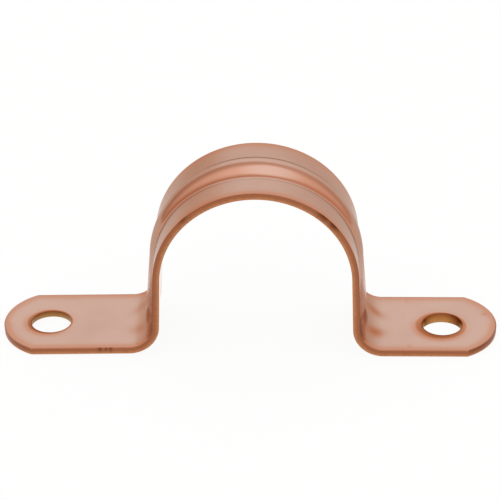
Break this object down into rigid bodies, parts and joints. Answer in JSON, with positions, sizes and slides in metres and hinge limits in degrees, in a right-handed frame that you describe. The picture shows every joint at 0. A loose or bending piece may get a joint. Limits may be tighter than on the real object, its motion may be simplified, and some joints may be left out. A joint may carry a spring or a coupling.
{
  "type": "pipe clip",
  "caption": "Omega-shaped copper pipe clip pressed from one strip: a ribbed arch over the pipe, bent legs and flat round-ended feet with a screw hole in each.",
  "frame": {"origin": "middle of the overall length and of the width, on the mounting plane under the feet", "axes": "+X along the strap towards the shorter foot, +Y along the pipe, +Z away from the mounting plane"},
  "size_m": [0.058, 0.012, 0.0229],
  "materials": {
    "copper": "bright rolled copper sheet, sheared edges"
  },
  "bodies": {
    "root": {"pipe_strap": "copper"}
  },
  "joints": []
}
